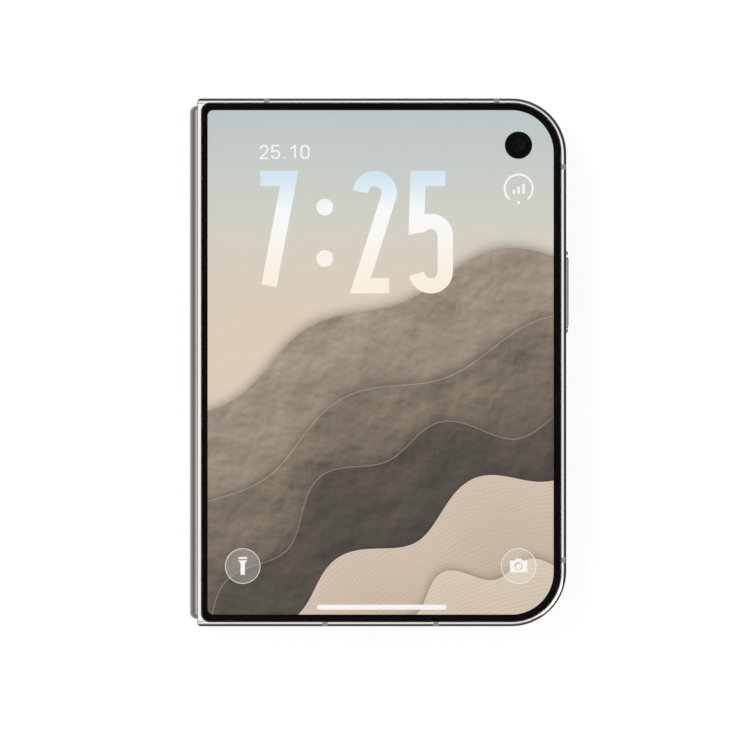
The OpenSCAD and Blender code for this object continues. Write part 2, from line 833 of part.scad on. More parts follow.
module hinge_end_housings() {
    room = gear_r + gear_addendum + 0.07;
    half = spine_len / 2 - spine_end_wall - slip;
    color([0.45, 0.45, 0.47]) in_place() for (flip = [0, 1]) mirror([0, flip, 0]) difference() {
        intersection() {
            union() {
                along_y(gear_y0 - 0.45, half) filler_section();
                along_y(gear_y0 - 0.05, half)
                    translate([0, -housing_half]) square([housing_top, 2 * housing_half]);
            }
            spine_body(spine_r - spine_wall - slip, 2, half, filler_end_r - slip);
        }
        for (side = [-1, 1]) {
            translate([0, 0, side * axis_offset]) y_rod(room, gear_y0 - 0.05, gear_y1 + 0.05);
            translate([sync_x, 0, side * sync_z]) y_rod(room, gear_y0 - 0.05, gear_y1 + 0.05);
        }
        translate([0, 0, axis_offset]) y_rod(shaft_r + shaft_fit, 50, 70);
        translate([0, 0, -axis_offset]) y_rod(shaft_r + shaft_fit, 50, 70);
        for (side = [-1, 1])
            translate([sync_x, 0, side * sync_z]) y_rod(sync_r + shaft_fit, 50, 70);
    }
}

module hinge_support_blocks() {
    color([0.45, 0.45, 0.47]) in_place() for (y = block_y) difference() {
        along_y(y - block_w / 2, y + block_w / 2) filler_section();
        hinge_bores(y - block_w, y + block_w);
        translate([-spine_r, y, 0]) rotate([0, 90, 0]) cylinder(r = 0.33, h = 9);
        translate([0, y, 0]) rotate([0, 90, 0]) cylinder(r = 0.7, h = 9);
    }
}

module spine_screws() {
    color([0.62, 0.62, 0.64]) in_place() for (y = block_y) translate([0, y, 0]) rotate([0, 90, 0]) {
        translate([0, 0, -spine_r + 0.28]) cylinder(r = 0.28, h = spine_r - 0.2);
        difference() {
            cylinder(r = 0.6, h = 0.45);
            translate([-0.07, -0.4, 0.3]) cube([0.14, 0.8, 1]);
            translate([-0.4, -0.07, 0.3]) cube([0.8, 0.14, 1]);
        }
    }
}

// Split spring clips that grip both shafts and hold the phone at any angle
module friction_clip() {
    difference() {
        union() {
            for (side = [-1, 1]) translate([0, side * axis_offset]) circle(spine_deck);
            translate([-0.3, -axis_offset]) square([0.6, 2 * axis_offset]);
        }
        for (side = [-1, 1]) translate([0, side * axis_offset]) {
            circle(shaft_r + 0.02);
            rotate(side * 90) translate([0, -0.08]) square([1, 0.16]);
        }
    }
}

module friction_clips() {
    color([0.55, 0.55, 0.57]) in_place() for (y = clip_y, i = [0:clip_count - 1])
        along_y(y + 1.2 * i, y + 1.2 * i + 0.9) friction_clip();
}

// Involute tooth: half its angle at radius r, for a gear whose pitch radius is gear_r
gear_base_r = gear_r * cos(20);
function roll(r) = let (a = acos(gear_base_r / r)) tan(a) * 180 / PI - a;
function tooth_half(r) = (180 - gear_backlash * gear_teeth) / (2 * gear_teeth) + roll(gear_r) - roll(r);
function at_angle(r, a) = [r * cos(a), r * sin(a)];
flank_radii = [for (i = [0:4]) gear_base_r + 0.001 + (gear_r + gear_addendum - gear_base_r) * i / 4];

module gear_section(phase) {
    root_r = gear_r - gear_dedendum;
    root_half = tooth_half(flank_radii[0]);
    polygon([for (i = [0:gear_teeth - 1]) let (a = phase + i * 360 / gear_teeth) each concat(
        [at_angle(root_r, a - root_half)],
        [for (r = flank_radii) at_angle(r, a - tooth_half(r))],
        [for (j = [4:-1:0]) at_angle(flank_radii[j], a + tooth_half(flank_radii[j]))],
        [at_angle(root_r, a + root_half)])]);
}

// Each gear's phase puts a gap of its own where the next gear has a tooth
function next_phase(phase, direction) = 2 * direction + 180 / gear_teeth - phase;
rear_drive_phase = 0;
rear_sync_phase = next_phase(rear_drive_phase, mesh_angle);
front_sync_phase = next_phase(rear_sync_phase, 90);
front_drive_phase = next_phase(front_sync_phase, 180 - mesh_angle);

module gear_pair(phase, bore_r) {
    for (y0 = [gear_y0, -gear_y1]) along_y(y0, y0 + gear_y1 - gear_y0) difference() {
        gear_section(phase);
        if (bore_r > 0) circle(bore_r);
    }
}

module sync_shaft(phase) {
    y_rod(sync_r, -spine_len / 2 + spine_end_wall + slip, spine_len / 2 - spine_end_wall - slip);
    gear_pair(phase, 0);
}

module rear_drive_gears() {
    color([0.72, 0.66, 0.5]) in_place() translate([0, 0, -axis_offset])
        gear_pair(rear_drive_phase, shaft_r);
}

module front_drive_gears() {
    color([0.72, 0.66, 0.5]) in_place() translate([0, 0, axis_offset])
        gear_pair(front_drive_phase, shaft_r);
}

module rear_sync_shaft() {
    color([0.72, 0.66, 0.5]) in_place() translate([sync_x, 0, -sync_z]) sync_shaft(rear_sync_phase);
}

module front_sync_shaft() {
    color([0.72, 0.66, 0.5]) in_place() translate([sync_x, 0, sync_z]) sync_shaft(front_sync_phase);
}

module hinge_shaft() {
    at_fold_axis() y_rod(shaft_r, -y_end + 0.55, y_end - 0.55);
}

module rear_hinge_shaft() {
    color([0.7, 0.7, 0.72]) rear_side() hinge_shaft();
}

module front_hinge_shaft() {
    color([0.7, 0.7, 0.72]) front_side() hinge_shaft();
}

// Plate that backs the display beside the fold, drawn tilted as it lies while the phone is closed
module wing_plate() {
    at_wing_pivot() rotate([0, wing_tilt, 0]) difference() {
        union() {
            y_rod(wing_pin_r, -end_wall_y + 0.3, end_wall_y - 0.3);
            along_y(0.2 - fold_y, fold_y - 0.2)
                translate([-wing_len, -0.3]) square([wing_len, wing_t]);
        }
        along_y(flex_y[0] - 0.3, flex_y[1] + 0.3)
            translate([-wing_len - 1, -1]) square([wing_len + 2, 0.88]);
    }
}

module rear_wing_plate() {
    color([0.52, 0.52, 0.54]) rear_side() wing_plate();
}

module front_wing_plate() {
    color([0.52, 0.52, 0.54]) front_side() wing_plate();
}

rear_frame();
rear_antenna_breaks();
rear_cover_glass();
camera_island();
camera_lens_rings();
camera_lens_covers();
main_camera_module();
wide_camera_module();
flash_diffuser();
rear_battery();
logic_board();
board_shields();
charging_coil();
magnet_ring();
usb_socket();
loudspeaker();
speaker_mesh();
haptic_motor();
power_button_surround();
button_switches();
rear_display_panel();
rear_support_plate();
rear_inner_bezel();
rear_hinge_shaft();
rear_drive_gears();
rear_screws();
rear_closing_magnets();
power_button();
volume_up_button();
volume_down_button();
front_frame();
front_antenna_breaks();
cover_glass();
cover_display();
cover_camera();
front_battery();
earpiece();
front_board();
front_display_panel();
front_support_plate();
front_inner_bezel();
inner_camera();
front_hinge_shaft();
front_drive_gears();
front_screws();
front_closing_magnets();
closing_pads();
spine_cover();
hinge_end_housings();
hinge_support_blocks();
friction_clips();
spine_screws();
fold_display();
fold_support_mesh();
hinge_flex_cable();
rear_sync_shaft();
front_sync_shaft();
rear_wing_plate();
front_wing_plate();
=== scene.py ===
# %% [markdown]
# # A foldable phone, closed, with its cover display lit
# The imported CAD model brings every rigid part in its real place: two leaves, a geared hinge with a
# round spine, buttons, cameras and what is inside. This lesson dresses it: it gives each part a
# finish, rebuilds the cover glass with the soft edge that ground glass has, draws a lit picture
# behind it, and hangs a flexible display round the fold.

# %% Load the frame
import bpy
import json
import math
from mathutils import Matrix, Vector


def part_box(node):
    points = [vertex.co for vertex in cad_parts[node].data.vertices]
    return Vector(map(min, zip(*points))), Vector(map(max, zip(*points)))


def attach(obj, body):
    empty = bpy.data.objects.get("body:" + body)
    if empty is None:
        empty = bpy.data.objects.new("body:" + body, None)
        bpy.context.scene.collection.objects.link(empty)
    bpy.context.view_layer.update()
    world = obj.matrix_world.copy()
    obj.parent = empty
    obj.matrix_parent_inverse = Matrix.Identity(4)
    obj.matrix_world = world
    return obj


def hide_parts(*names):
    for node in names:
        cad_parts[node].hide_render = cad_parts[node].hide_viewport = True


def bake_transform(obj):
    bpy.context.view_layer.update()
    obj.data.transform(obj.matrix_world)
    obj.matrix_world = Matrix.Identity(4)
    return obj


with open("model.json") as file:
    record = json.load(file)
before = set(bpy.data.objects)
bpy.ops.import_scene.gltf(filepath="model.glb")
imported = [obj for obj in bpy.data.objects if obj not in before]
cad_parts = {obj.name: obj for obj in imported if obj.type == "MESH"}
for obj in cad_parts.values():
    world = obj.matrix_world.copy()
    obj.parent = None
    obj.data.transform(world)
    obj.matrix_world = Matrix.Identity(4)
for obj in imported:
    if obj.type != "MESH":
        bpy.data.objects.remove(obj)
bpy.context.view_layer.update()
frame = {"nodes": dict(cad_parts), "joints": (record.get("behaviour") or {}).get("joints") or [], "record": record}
node_objects = frame["nodes"]

# %% [markdown]
# ## The phone's own places
# A phone is drawn from its hinge: x runs from the hinge to the free edge, y from the charging socket
# to the top, and height counts from the plane where the leaves meet. Both hinge axes come from the
# joints, so one small function turns those drawing sizes, in millimetres, into the scene's metres.

# %% Sizes from the hinge and the parts
MM = 0.001
joint_places = {joint["name"]: joint["pos_m"] for joint in frame["joints"] if "pos_m" in joint}
rear_axis = Vector(joint_places["rear_fold"])
front_axis = Vector(joint_places["front_fold"])
hinge = (rear_axis + front_axis) / 2
axis_height = (front_axis.z - rear_axis.z) / 2 / MM


def at(x, y, height):
    """A point of the drawing, in millimetres from the middle of the hinge, as a place in the scene."""
    return hinge + Vector((x, y, height)) * MM


def drawn_box(name):
    """A CAD part's lowest and highest corners, in the drawing's millimetres."""
    low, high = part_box(name)
    return (Vector(low) - hinge) / MM, (Vector(high) - hinge) / MM


glass_low, glass_high = drawn_box("cover_glass")
display_low, display_high = drawn_box("cover_display")
frame_low, frame_high = drawn_box("front_frame")
leaf_middle_x = (frame_low.x + frame_high.x) / 2
print("leaf, mm:", round(frame_high.x - frame_low.x, 2), "x", round(frame_high.y - frame_low.y, 2))
print("display, mm:", [round(v, 2) for v in (display_high - display_low)])

# %% [markdown]
# ## The camera
# A product photograph like this one is taken from far away with a long lens, so that the sides of
# the phone don't show. The camera looks straight down on the phone, which lies on its back, and the
# distance follows from the width that the picture covers.

# %% Camera
PICTURE_WIDTH = 171.4 * MM
PICTURE_CENTRE = at(39.40, -2.88, 0)
LENS_MM = 600
SENSOR_MM = 36
RIM_HEIGHT = 2.65

camera_data = bpy.data.cameras.new("long_lens")
camera_data.lens = LENS_MM
camera_data.sensor_width = SENSOR_MM
camera_data.clip_start = 0.05
camera_data.clip_end = 50
camera = bpy.data.objects.new("camera", camera_data)
bpy.context.scene.collection.objects.link(camera)
camera_distance = PICTURE_WIDTH * LENS_MM / SENSOR_MM
camera.location = PICTURE_CENTRE + Vector((0, 0, RIM_HEIGHT * MM + camera_distance))
bpy.context.scene.camera = camera
bpy.context.scene.view_settings.view_transform = "Standard"
print("camera distance, m:", round(camera_distance, 3))

# %% [markdown]
# ## Writing shader maths as sums
# A finish is a chain of small sums on position and noise. Drawing each one as a node by hand hides
# the idea, so a wire between nodes gets the usual operators: a sum of two wires adds the Math node
# for it. Colours and vectors go through Vector Math, because a Math node would turn them grey.

# %% A wire that can be added and multiplied
def linear(red, green, blue):
    """A screen colour, 0 to 255, as the linear colour that shaders use."""
    parts = [c / 255 for c in (red, green, blue)]
    return tuple(p / 12.92 if p <= 0.04045 else ((p + 0.055) / 1.055) ** 2.4 for p in parts) + (1.0,)


class Wire:
    """An output socket that takes part in Python sums."""

    def __init__(self, tree, socket):
        self.tree = tree
        self.socket = socket

    def sum_with(self, operation, *terms):
        """Adds the node for one operation on wires and numbers, a Vector Math one if any is a vector."""
        flat = all(not isinstance(t, Wire) or t.socket.type == "VALUE" for t in terms)
        flat = flat and not any(isinstance(t, (tuple, Vector)) for t in terms)
        node = self.tree.nodes.new("ShaderNodeMath" if flat else "ShaderNodeVectorMath")
        node.operation = operation
        for socket, term in zip(node.inputs, terms):
            plug(self.tree, socket, term)
        return Wire(self.tree, node.outputs[0])

    def __add__(self, other):
        return self.sum_with("ADD", self, other)

    def __sub__(self, other):
        return self.sum_with("SUBTRACT", self, other)

    def __rsub__(self, other):
        return self.sum_with("SUBTRACT", other, self)

    def __mul__(self, other):
        return self.sum_with("MULTIPLY", self, other)

    def __truediv__(self, other):
        return self.sum_with("DIVIDE", self, other)

    def __pow__(self, other):
        return self.sum_with("POWER", self, other)

    def absolute(self):
        """The wire's value without its sign."""
        return self.sum_with("ABSOLUTE", self)

    def sine(self):
        """The sine of the wire's value, taken as an angle in radians."""
        return self.sum_with("SINE", self)

    def at_least(self, floor):
        """The wire's value, or the floor where that is higher."""
        return self.sum_with("MAXIMUM", self, floor)

    def clamped(self):
        """The wire's value, held between 0 and 1."""
        return self.sum_with("MINIMUM", self.at_least(0.0), 1.0)


def plug(tree, socket, value):
    """Gives an input socket a wire or a plain value."""
    if isinstance(value, Wire):
        tree.links.new(value.socket, socket)
    elif isinstance(value, (int, float)) and socket.type in ("VECTOR", "RGBA"):
        socket.default_value = [value] * len(socket.default_value)
    elif isinstance(value, (tuple, Vector)):
        socket.default_value = tuple(value)[:len(socket.default_value)]
    else:
        socket.default_value = value


print("colour 128 in linear light:", round(linear(128, 128, 128)[0], 3))

# %% [markdown]
# ## A finish as an object
# Each finish is one Principled shader. Numbers that hold all over the surface go on the shader's own
# sockets; what varies is a wire. One method adds any other node: its settings are set first, then
# the values and wires of its sockets.

# %% The finish class
class Finish:
    """A material under construction: its node tree and its main shader."""

    def __init__(self, name, **constants):
        self.material = bpy.data.materials.new(name)
        self.material.use_nodes = True
        self.tree = self.material.node_tree
        self.shader = self.tree.nodes["Principled BSDF"]
        for socket, value in constants.items():
            self.shader.inputs[socket.replace("_", " ")].default_value = value

    def node(self, kind, settings=None, sockets=None, out=0):
        """Adds a node, sets it, then fills its sockets, and gives back one of its outputs."""
        node = self.tree.nodes.new("ShaderNode" + kind)
        for setting, value in (settings or {}).items():
            if setting == "stops":
                place_stops(node.color_ramp, value)
            else:
                setattr(node, setting, value)
        for socket, value in (sockets or {}).items():
            plug(self.tree, node.inputs[socket], value)
        return Wire(self.tree, node.outputs[out])

    def place(self):
        """The point on the surface, in metres of the scene at rest."""
        return self.node("TexCoord", out="Object")

    def noise(self, size, detail=2, where=None):
        """Soft random patches of about the given size in metres, from 0 to 1."""
        sockets = {"Vector": where or self.place(), "Scale": 1 / size, "Detail": detail}
        return self.node("TexNoise", sockets=sockets)

    def mix(self, amount, first, second):
        """A colour that goes from the first to the second as amount goes from 0 to 1."""
        settings = {"data_type": "RGBA"}
        return self.node("Mix", settings, {0: amount, 6: first, 7: second}, out=2)

    def feed(self, **wires):
        """Plugs wires into the shader's sockets."""
        for socket, wire in wires.items():
            plug(self.tree, self.shader.inputs[socket.replace("_", " ")], wire)

    def bump(self, height, depth):
        """Lets a wire of heights, 0 to 1, raise the surface by up to depth metres."""
        sockets = {"Height": height, "Distance": depth, "Strength": 1.0}
        self.feed(Normal=self.node("Bump", sockets=sockets))


def place_stops(ramp, stops):
    """Sets a colour ramp's stops, each a place from 0 to 1 and a colour."""
    while len(ramp.elements) < len(stops):
        ramp.elements.new(0.5)
    for element, (place, colour) in zip(ramp.elements, stops):
        element.position = place
        element.color = colour


def paint(names, finish):
    """Gives CAD parts a finish through their own material slots."""
    for name in names:
        for slot in node_objects[name].material_slots:
            slot.material = finish.material


print("parts to paint:", len(node_objects))

# %% [markdown]
# ## The studio
# Polished metal shows nothing but what stands around it. In the photograph the rim is a bright line
# between two dark ones, which is how a curved edge mirrors a white tent with a dark gap at table
# height. So the world is a white dome that darkens towards the horizon, with a small dark patch
# straight overhead: flat glass mirrors that patch and stays black, as glass does behind a flag.

# %% World
# each stop: how far up a direction points, from -1 to 1, and how bright the tent is there
TENT = [
    (-1.0, 0.62), (-0.56, 0.50), (-0.29, 0.38), (-0.05, 0.14),
    (0.17, 0.22), (0.36, 0.55), (0.53, 0.92), (0.8, 1.0),
]
TENT_TINT = (1.0, 0.985, 0.965)
FLAG_INNER = 1 - math.cos(math.radians(1.5))
FLAG_OUTER = 1 - math.cos(math.radians(2.3))
FLAG_COLOUR = (0.05, 0.05, 0.05, 1.0)
BACKDROP_COLOUR = (0.93, 0.93, 0.93, 1.0)


def build_world():
    """A soft tent whose brightness depends on how high a direction points, and to which side."""
    world = bpy.data.worlds.new("tent")
    bpy.context.scene.world = world
    world.use_nodes = True
    tree = world.node_tree

    def added(kind, out, **settings):
        node = tree.nodes.new("ShaderNode" + kind)
        for setting, value in settings.items():
            setattr(node, setting, value)
        return node, Wire(tree, node.outputs[out])

    def mixed(amount, first, second, blend="MIX"):
        node, colour = added("Mix", 2, data_type="RGBA", blend_type=blend)
        for number, term in ((0, amount), (6, first), (7, second)):
            plug(tree, node.inputs[number], term)
        return colour

    split, up = added("SeparateXYZ", "Z")
    tree.links.new(tree.nodes.new("ShaderNodeTexCoord").outputs["Generated"], split.inputs[0])
    right = Wire(tree, split.outputs["X"])
    away = Wire(tree, split.outputs["Y"])
    ramp, tent = added("ValToRGB", 0)
    colours = [tuple(v * tint for tint in TENT_TINT) + (1.0,) for _, v in TENT]
    place_stops(ramp.color_ramp, [((z + 1) / 2, colour) for (z, _), colour in zip(TENT, colours)])
    plug(tree, ramp.inputs[0], (up + 1) / 2)
    # low down most light comes from the left, a little from front and back, and some from far below
    left = (right * -4.0 - 0.9).clamped()
    deep = ((-0.75 - up) / 0.2).clamped()
    side_light = (left * 0.86 + away * away * 0.16 + deep * 0.75 + 0.10).clamped()
    # this shade reaches higher up towards two opposite corners
    corner = (right * away * 4.0).clamped()
    low = ((corner * 0.12 + 0.85 - up) / 0.3).clamped()
    shaded = mixed(low, tent, side_light, "MULTIPLY")
    beside_flag = ((1 - up - FLAG_INNER) / (FLAG_OUTER - FLAG_INNER)).clamped()
    flagged = mixed(beside_flag, FLAG_COLOUR, shaded)
    is_camera = added("LightPath", "Is Camera Ray")[1]
    backdrop = mixed(is_camera, flagged, BACKDROP_COLOUR)
    plug(tree, tree.nodes["Background"].inputs["Color"], backdrop)


build_world()
print("world:", bpy.context.scene.world.name)

# %% [markdown]
# The phone lies on a pale sheet. The sheet gives some light of its own, so it stays nearly white
# round the phone. It is left out of reflections, because the world already holds what the metal
# mirrors, and from below it can be looked through. Two large square lamps model the forms softly.

# %% Floor
FLOOR_HALF = 3.0
floor_mesh = bpy.data.meshes.new("studio_floor")
corners = [(x * FLOOR_HALF, y * FLOOR_HALF, 0) for x, y in ((-1, -1), (1, -1), (1, 1), (-1, 1))]
floor_mesh.from_pydata(corners, [], [(0, 1, 2, 3)])
floor = bpy.data.objects.new("studio_floor", floor_mesh)
bpy.context.scene.collection.objects.link(floor)
floor.visible_glossy = False

paper = Finish("pale_floor", Roughness=0.9, Base_Color=(0.25, 0.25, 0.25, 1.0), Specular_IOR_Level=0.0,
               Emission_Color=(1.0, 1.0, 1.0, 1.0), Emission_Strength=0.82)
clear = paper.node("BsdfTransparent")
below = paper.node("NewGeometry", out="Backfacing")
seen_from_above = Wire(paper.tree, paper.shader.outputs[0])
side = paper.node("MixShader", sockets={0: below, 1: seen_from_above, 2: clear})
paper.tree.links.new(side.socket, paper.tree.nodes["Material Output"].inputs["Surface"])
floor_mesh.materials.append(paper.material)
print("floor side, m:", 2 * FLOOR_HALF)

# %% Soft lights
def soft_light(name, place, size, power):
    """A large square lamp that looks at the phone."""
    lamp = bpy.data.lights.new(name, "AREA")
    lamp.size = size
    lamp.energy = power
    holder = bpy.data.objects.new(name, lamp)
    holder.location = place
    holder.rotation_mode = "QUATERNION"
    holder.rotation_quaternion = Vector(place).to_track_quat("Z", "Y")
    bpy.context.scene.collection.objects.link(holder)


soft_light("key_softbox", (-0.9, 0.7, 1.3), 0.8, 9)
soft_light("fill_softbox", (1.1, -0.8, 1.1), 1.0, 6)

# %% [markdown]
# ## Metal and plastic finishes
# Polished, blasted and brushed metals differ in how rough they are and in which way, not in colour
# alone. One recipe covers them: a base colour with slow patches, a roughness that drifts a little,
# and a fine relief, either round as blasting leaves it or drawn out along one direction.

# %% One recipe for plain surfaces
PATCH_SIZE = 0.006


def surface(name, colour, rough, metallic=0.0, drift=0.04, grain=0.0004, relief=0.0,
            stretch=(1, 1, 1), **constants):
    """A finish with slow colour patches, a drifting roughness and a fine relief."""
    finish = Finish(name, Metallic=metallic, **constants)
    where = finish.place() * Vector(stretch)
    patches = finish.noise(PATCH_SIZE, 3, where)
    fine = finish.noise(grain, 2, where)
    dark = tuple(c * (1 - drift) for c in colour[:3]) + (1.0,)
    finish.feed(Base_Color=finish.mix(patches, dark, colour))
    finish.feed(Roughness=fine * rough * 0.4 + rough * 0.8)
    if relief:
        finish.bump(fine, relief)
    return finish


slot_of = {part["node"]: part["material_slot"] for part in frame["record"]["subparts"]}


def nodes_with(slot):
    """The CAD parts that use one of the record's material slots."""
    return [name for name, used in slot_of.items() if used == slot]


print("material slots:", len(set(slot_of.values())))

# %% [markdown]
# ## Seam and breaks on the rim
# The rim needs more than one finish. A hair of black adhesive shows where the glass is bedded in it.
# It follows from the distance to the pane's outline: a rectangle with round corners, wide ones at
# the free edge and tight ones at the hinge. The antenna breaks, which insulate one stretch of metal
# from the next, run on over the rim's top as far as the glass, so each is a stripe across it. Beside
# the hinge a painted shadow line, in the adhesive's black, stands where the rim's top meets its
# hinge-side land in a crease, and carries the line of the glass on to the end of the rim.

# %% The seam and the antenna breaks
GLASS_HINGE_RADIUS = 2.0
GLASS_FREE_RADIUS = 11.4
SEAM = 0.07
SEAM_BLUR = 0.02
# where the painted shadow line along the crease lies beside the hinge, and its half width, in mm
CREASE_X = -40
CREASE_Y = 59.15
CREASE_HALF = 0.09
RIM_COLOUR = (0.92, 0.90, 0.87, 1)
BREAK_COLOUR = linear(150, 148, 139)
BREAK_HALF = 0.6
TOP_BREAKS = (14.57, 67.17)
BOTTOM_BREAKS = (27.98, 53.34)
SIDE_BREAKS = (44.65, -45.15)
pane_middle_x = (glass_low.x + glass_high.x) / 2


def pane_measures(finish):
    """A point's place from the pane's middle, and how far outside the pane's outline it is, all in mm."""
    where = (finish.place() - at(pane_middle_x, 0, 0)) / MM
    across = finish.node("SeparateXYZ", sockets={0: where}, out="X")
    along = finish.node("SeparateXYZ", sockets={0: where}, out="Y")
    # the corner radius changes from the hinge's to the free edge's in the pane's middle
    radius = (across * 1000).clamped() * (GLASS_FREE_RADIUS - GLASS_HINGE_RADIUS) + GLASS_HINGE_RADIUS
    wide = (across.absolute() - (glass_high.x - glass_low.x) / 2 + radius).at_least(0.0)
    tall = (along.absolute() - glass_high.y + radius).at_least(0.0)
    return across, along, (wide * wide + tall * tall) ** 0.5 - radius


def over_breaks(across, along):
    """1 where an antenna break crosses the rim, each on its own side of the phone, and 0 elsewhere."""

    def stripe(coordinate, centre):
        return ((BREAK_HALF - (coordinate - centre).absolute()) * 20).clamped()

    marks = across * 0.0
    for x in TOP_BREAKS:
        marks = marks + stripe(across, x - pane_middle_x) * (along - 50).clamped()
    for x in BOTTOM_BREAKS:
        marks = marks + stripe(across, x - pane_middle_x) * (-50 - along).clamped()
    for y in SIDE_BREAKS:
        marks = marks + stripe(along, y) * (across - 30).clamped()
    return marks.clamped()


print("rim measured from a pane of mm:", [round(v, 2) for v in glass_high - glass_low])

# %% The rim
# the adhesive seam's black, also used for the painted shadow line along the crease
SEAM_AND_CREASE_SHADOW_COLOUR = (0.004, 0.004, 0.004, 1)
rim = Finish("polished_rim")
facing = rim.node("NewGeometry", out="Normal")
level = rim.node("SeparateXYZ", sockets={0: facing}, out="Z")
# the level strips of the rim are a little duller than its rounds
flat_land = ((level * level - 0.985) / 0.012).clamped()
rim_x, rim_y, beyond = pane_measures(rim)
# painted shade: a dark shadow line along the crease beside the hinge, merged with the adhesive seam
from_crease = (rim_y.absolute() - CREASE_Y).absolute()
crease_shadow = ((CREASE_HALF - from_crease) * 20).clamped() * (CREASE_X - rim_x).clamped()
seam_and_crease_shadow = crease_shadow.at_least(((SEAM - beyond) / SEAM_BLUR).clamped())
breaks = over_breaks(rim_x, rim_y)
dark_rim = tuple(c * 0.97 for c in RIM_COLOUR[:3]) + (1.0,)
metal = rim.mix(rim.noise(PATCH_SIZE, 3), dark_rim, RIM_COLOUR)
insulated = rim.mix(breaks, metal, BREAK_COLOUR)
rim.feed(Base_Color=rim.mix(seam_and_crease_shadow, insulated, SEAM_AND_CREASE_SHADOW_COLOUR))
rim.feed(Metallic=(1 - seam_and_crease_shadow.at_least(breaks)).clamped())
rim.feed(Roughness=flat_land * 0.22 + breaks * 0.3 + seam_and_crease_shadow * 0.5 + rim.noise(0.0005) * 0.03 + 0.075)
paint(nodes_with("rim_metal") + nodes_with("button_metal"), rim)
print("rim parts:", len(nodes_with("rim_metal")), "buttons:", len(nodes_with("button_metal")))

# %% [markdown]
# The other outer parts follow the plain recipe. The spine and the power button are brushed along the
# phone, so their grain is drawn out in y; the camera island is blasted and its rings are turned.

# %% Finishes of the outside
ALONG_Y = (1, 0.04, 1)
# each slot: the finish's name, colour, roughness, metallic, drift, grain, relief and stretch
OUTSIDE = {
    "spine_metal": ("satin_spine", (0.60, 0.575, 0.54, 1), 0.24, 1.0, 0.06, 0.0003, 0.0000004, ALONG_Y),
    "antenna_polymer": ("antenna_insert", BREAK_COLOUR, 0.45, 0.0, 0.05, 0.0003, 0.0000010),
    "island_metal": ("blasted_island", (0.70, 0.67, 0.63, 1), 0.34, 1.0, 0.04, 0.00012, 0.0000015),
    "lens_ring_metal": ("turned_ring", (0.74, 0.73, 0.71, 1), 0.12, 1.0, 0.04, 0.0002),
    "sensor_metal": ("sensor_cap", (0.21, 0.205, 0.20, 1), 0.36, 1.0, 0.05, 0.0003, 0.0000006, ALONG_Y),
    "bezel_soft": ("soft_bezel", (0.012, 0.012, 0.012, 1), 0.55, 0.0, 0.2, 0.0003, 0.0000020),
}
for slot_name, recipe in OUTSIDE.items():
    paint(nodes_with(slot_name), surface(*recipe))
print("plain outer finishes:", len(OUTSIDE))

# %% [markdown]
# The power button sits in a surround whose middle is a grey sensor window, set off by two gaps
# shown as painted shade, near black. On this part they are colour alone: the distance from the
# window's ends decides which of the three a point gets.

# %% The power button's surround
CAP_MIDDLE = 15.86
CAP_HALF = 7.9
CAP_GAP = 0.16
surround = Finish("sensor_surround", Metallic=1.0)
from_middle = (surround.place() - at(0, CAP_MIDDLE, 0)) / MM
along_cap = surround.node("SeparateXYZ", sockets={0: from_middle}, out="Y")
from_end = CAP_HALF - along_cap.absolute()
window_part = (from_end * 20 + 0.5).clamped()
# painted shade: the two gaps at the window's ends are near black, as the shade inside a gap
gap_shade = ((CAP_GAP - from_end.absolute()) * 15).clamped()
ends = surround.mix(window_part, RIM_COLOUR, (0.40, 0.395, 0.39, 1))
surround.feed(Base_Color=surround.mix(gap_shade, ends, (0.01, 0.01, 0.01, 1)))
surround.feed(Roughness=window_part * 0.24 + surround.noise(0.0004) * 0.03 + 0.11)
paint(["power_button_surround"], surround)
print("sensor window, mm:", 2 * CAP_HALF)

# %% [markdown]
# Inside, the same recipe tells foils, laminates, steels and copper apart. Most of them show only
# when the phone is taken to pieces, so colour, roughness and metal are enough to tell them apart.

# %% Finishes of the inside
# each slot: colour, roughness and metallic
INSIDE = {
    "camera_black": ((0.012, 0.012, 0.014, 1), 0.35, 0.0),
    "battery_foil": ((0.030, 0.031, 0.034, 1), 0.38, 0.3),
    "board_laminate": ((0.010, 0.045, 0.022, 1), 0.35, 0.0),
    "shield_steel": ((0.62, 0.62, 0.62, 1), 0.30, 1.0),
    "coil_copper": ((0.80, 0.40, 0.20, 1), 0.28, 1.0),
    "magnet_metal": ((0.55, 0.55, 0.56, 1), 0.25, 1.0),
    "socket_steel": ((0.50, 0.50, 0.51, 1), 0.28, 1.0),
    "module_black": ((0.020, 0.020, 0.021, 1), 0.50, 0.0),
    "support_steel": ((0.42, 0.42, 0.44, 1), 0.33, 1.0),
    "hinge_steel": ((0.47, 0.47, 0.49, 1), 0.27, 1.0),
    "gear_steel": ((0.58, 0.56, 0.50, 1), 0.32, 1.0),
    "screw_steel": ((0.60, 0.60, 0.62, 1), 0.24, 1.0),
    "flex_film": ((0.55, 0.24, 0.04, 1), 0.25, 0.0),
}
for slot_name, (colour, rough, metallic) in INSIDE.items():
    inner = surface("inside_" + slot_name, colour, rough, metallic, 0.08, 0.0003, 0.000001)
    paint(nodes_with(slot_name), inner)
print("finishes:", len(bpy.data.materials))

# %% [markdown]
# ## The speaker's cloth
# A woven mesh keeps dust out of the loudspeaker. Two sets of waves at right angles give the threads.

# %% Woven mesh
THREAD_PITCH = 0.12 * MM
# from band to band in a wave texture of scale 1, in metres
WAVE_LENGTH = 0.314
weave = Finish("woven_mesh", Roughness=0.7)
waves = {"Vector": weave.place(), "Scale": WAVE_LENGTH / THREAD_PITCH}
warp = weave.node("TexWave", {"bands_direction": "X"}, waves)
weft = weave.node("TexWave", {"bands_direction": "Z"}, waves)
threads = weave.node("Math", {"operation": "MAXIMUM"}, {0: warp, 1: weft})
weave.feed(Base_Color=weave.mix(threads, (0.004, 0.004, 0.004, 1), (0.05, 0.05, 0.05, 1)))
weave.bump(threads, 0.00002)
paint(nodes_with("speaker_cloth"), weave)
print("threads per mm:", round(MM / THREAD_PITCH, 1))

